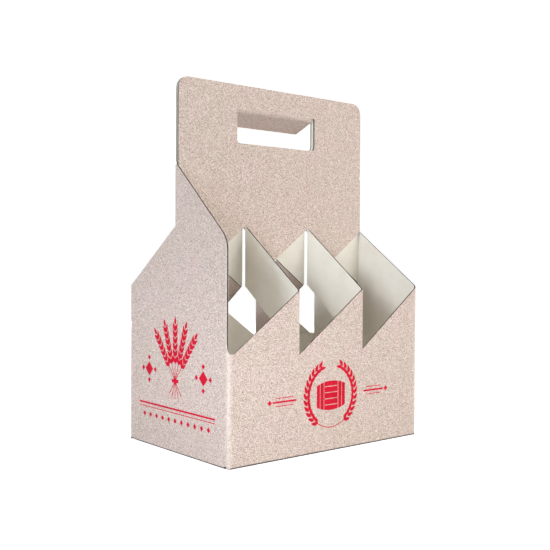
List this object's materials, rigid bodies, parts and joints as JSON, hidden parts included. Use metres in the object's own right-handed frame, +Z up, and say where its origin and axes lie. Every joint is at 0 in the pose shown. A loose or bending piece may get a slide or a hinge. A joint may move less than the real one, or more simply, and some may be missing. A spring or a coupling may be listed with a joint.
{
  "type": "six-pack carrier",
  "caption": "Bottle carrier folded from thin corrugated board, with a saw-tooth front and rear, slanted cell dividers and a double-layer handle whose hand hole has a swinging flap.",
  "frame": {"origin": "middle of the base, on the surface that the carrier stands on", "axes": "+X along the front from left to right, -Y out of the front, +Z up"},
  "size_m": [0.2002, 0.1382, 0.2915],
  "materials": {
    "board": "matte, fine speckle, cream on the inner side",
    "ink": "matte red print"
  },
  "bodies": {
    "carrier": {"carrier": "board", "front_print": "ink", "rear_print": "ink", "left_end_print": "ink", "right_end_print": "ink"},
    "grip_flap": {"grip_flap": "board"}
  },
  "joints": [
    {"name": "grip_flap_crease", "type": "hinge", "parent": "carrier", "child": "grip_flap", "pos_m": [0, -0.0009, 0.2704], "axis": [1, 0, 0], "range_deg": [-68.5, 21.5]}
  ]
}
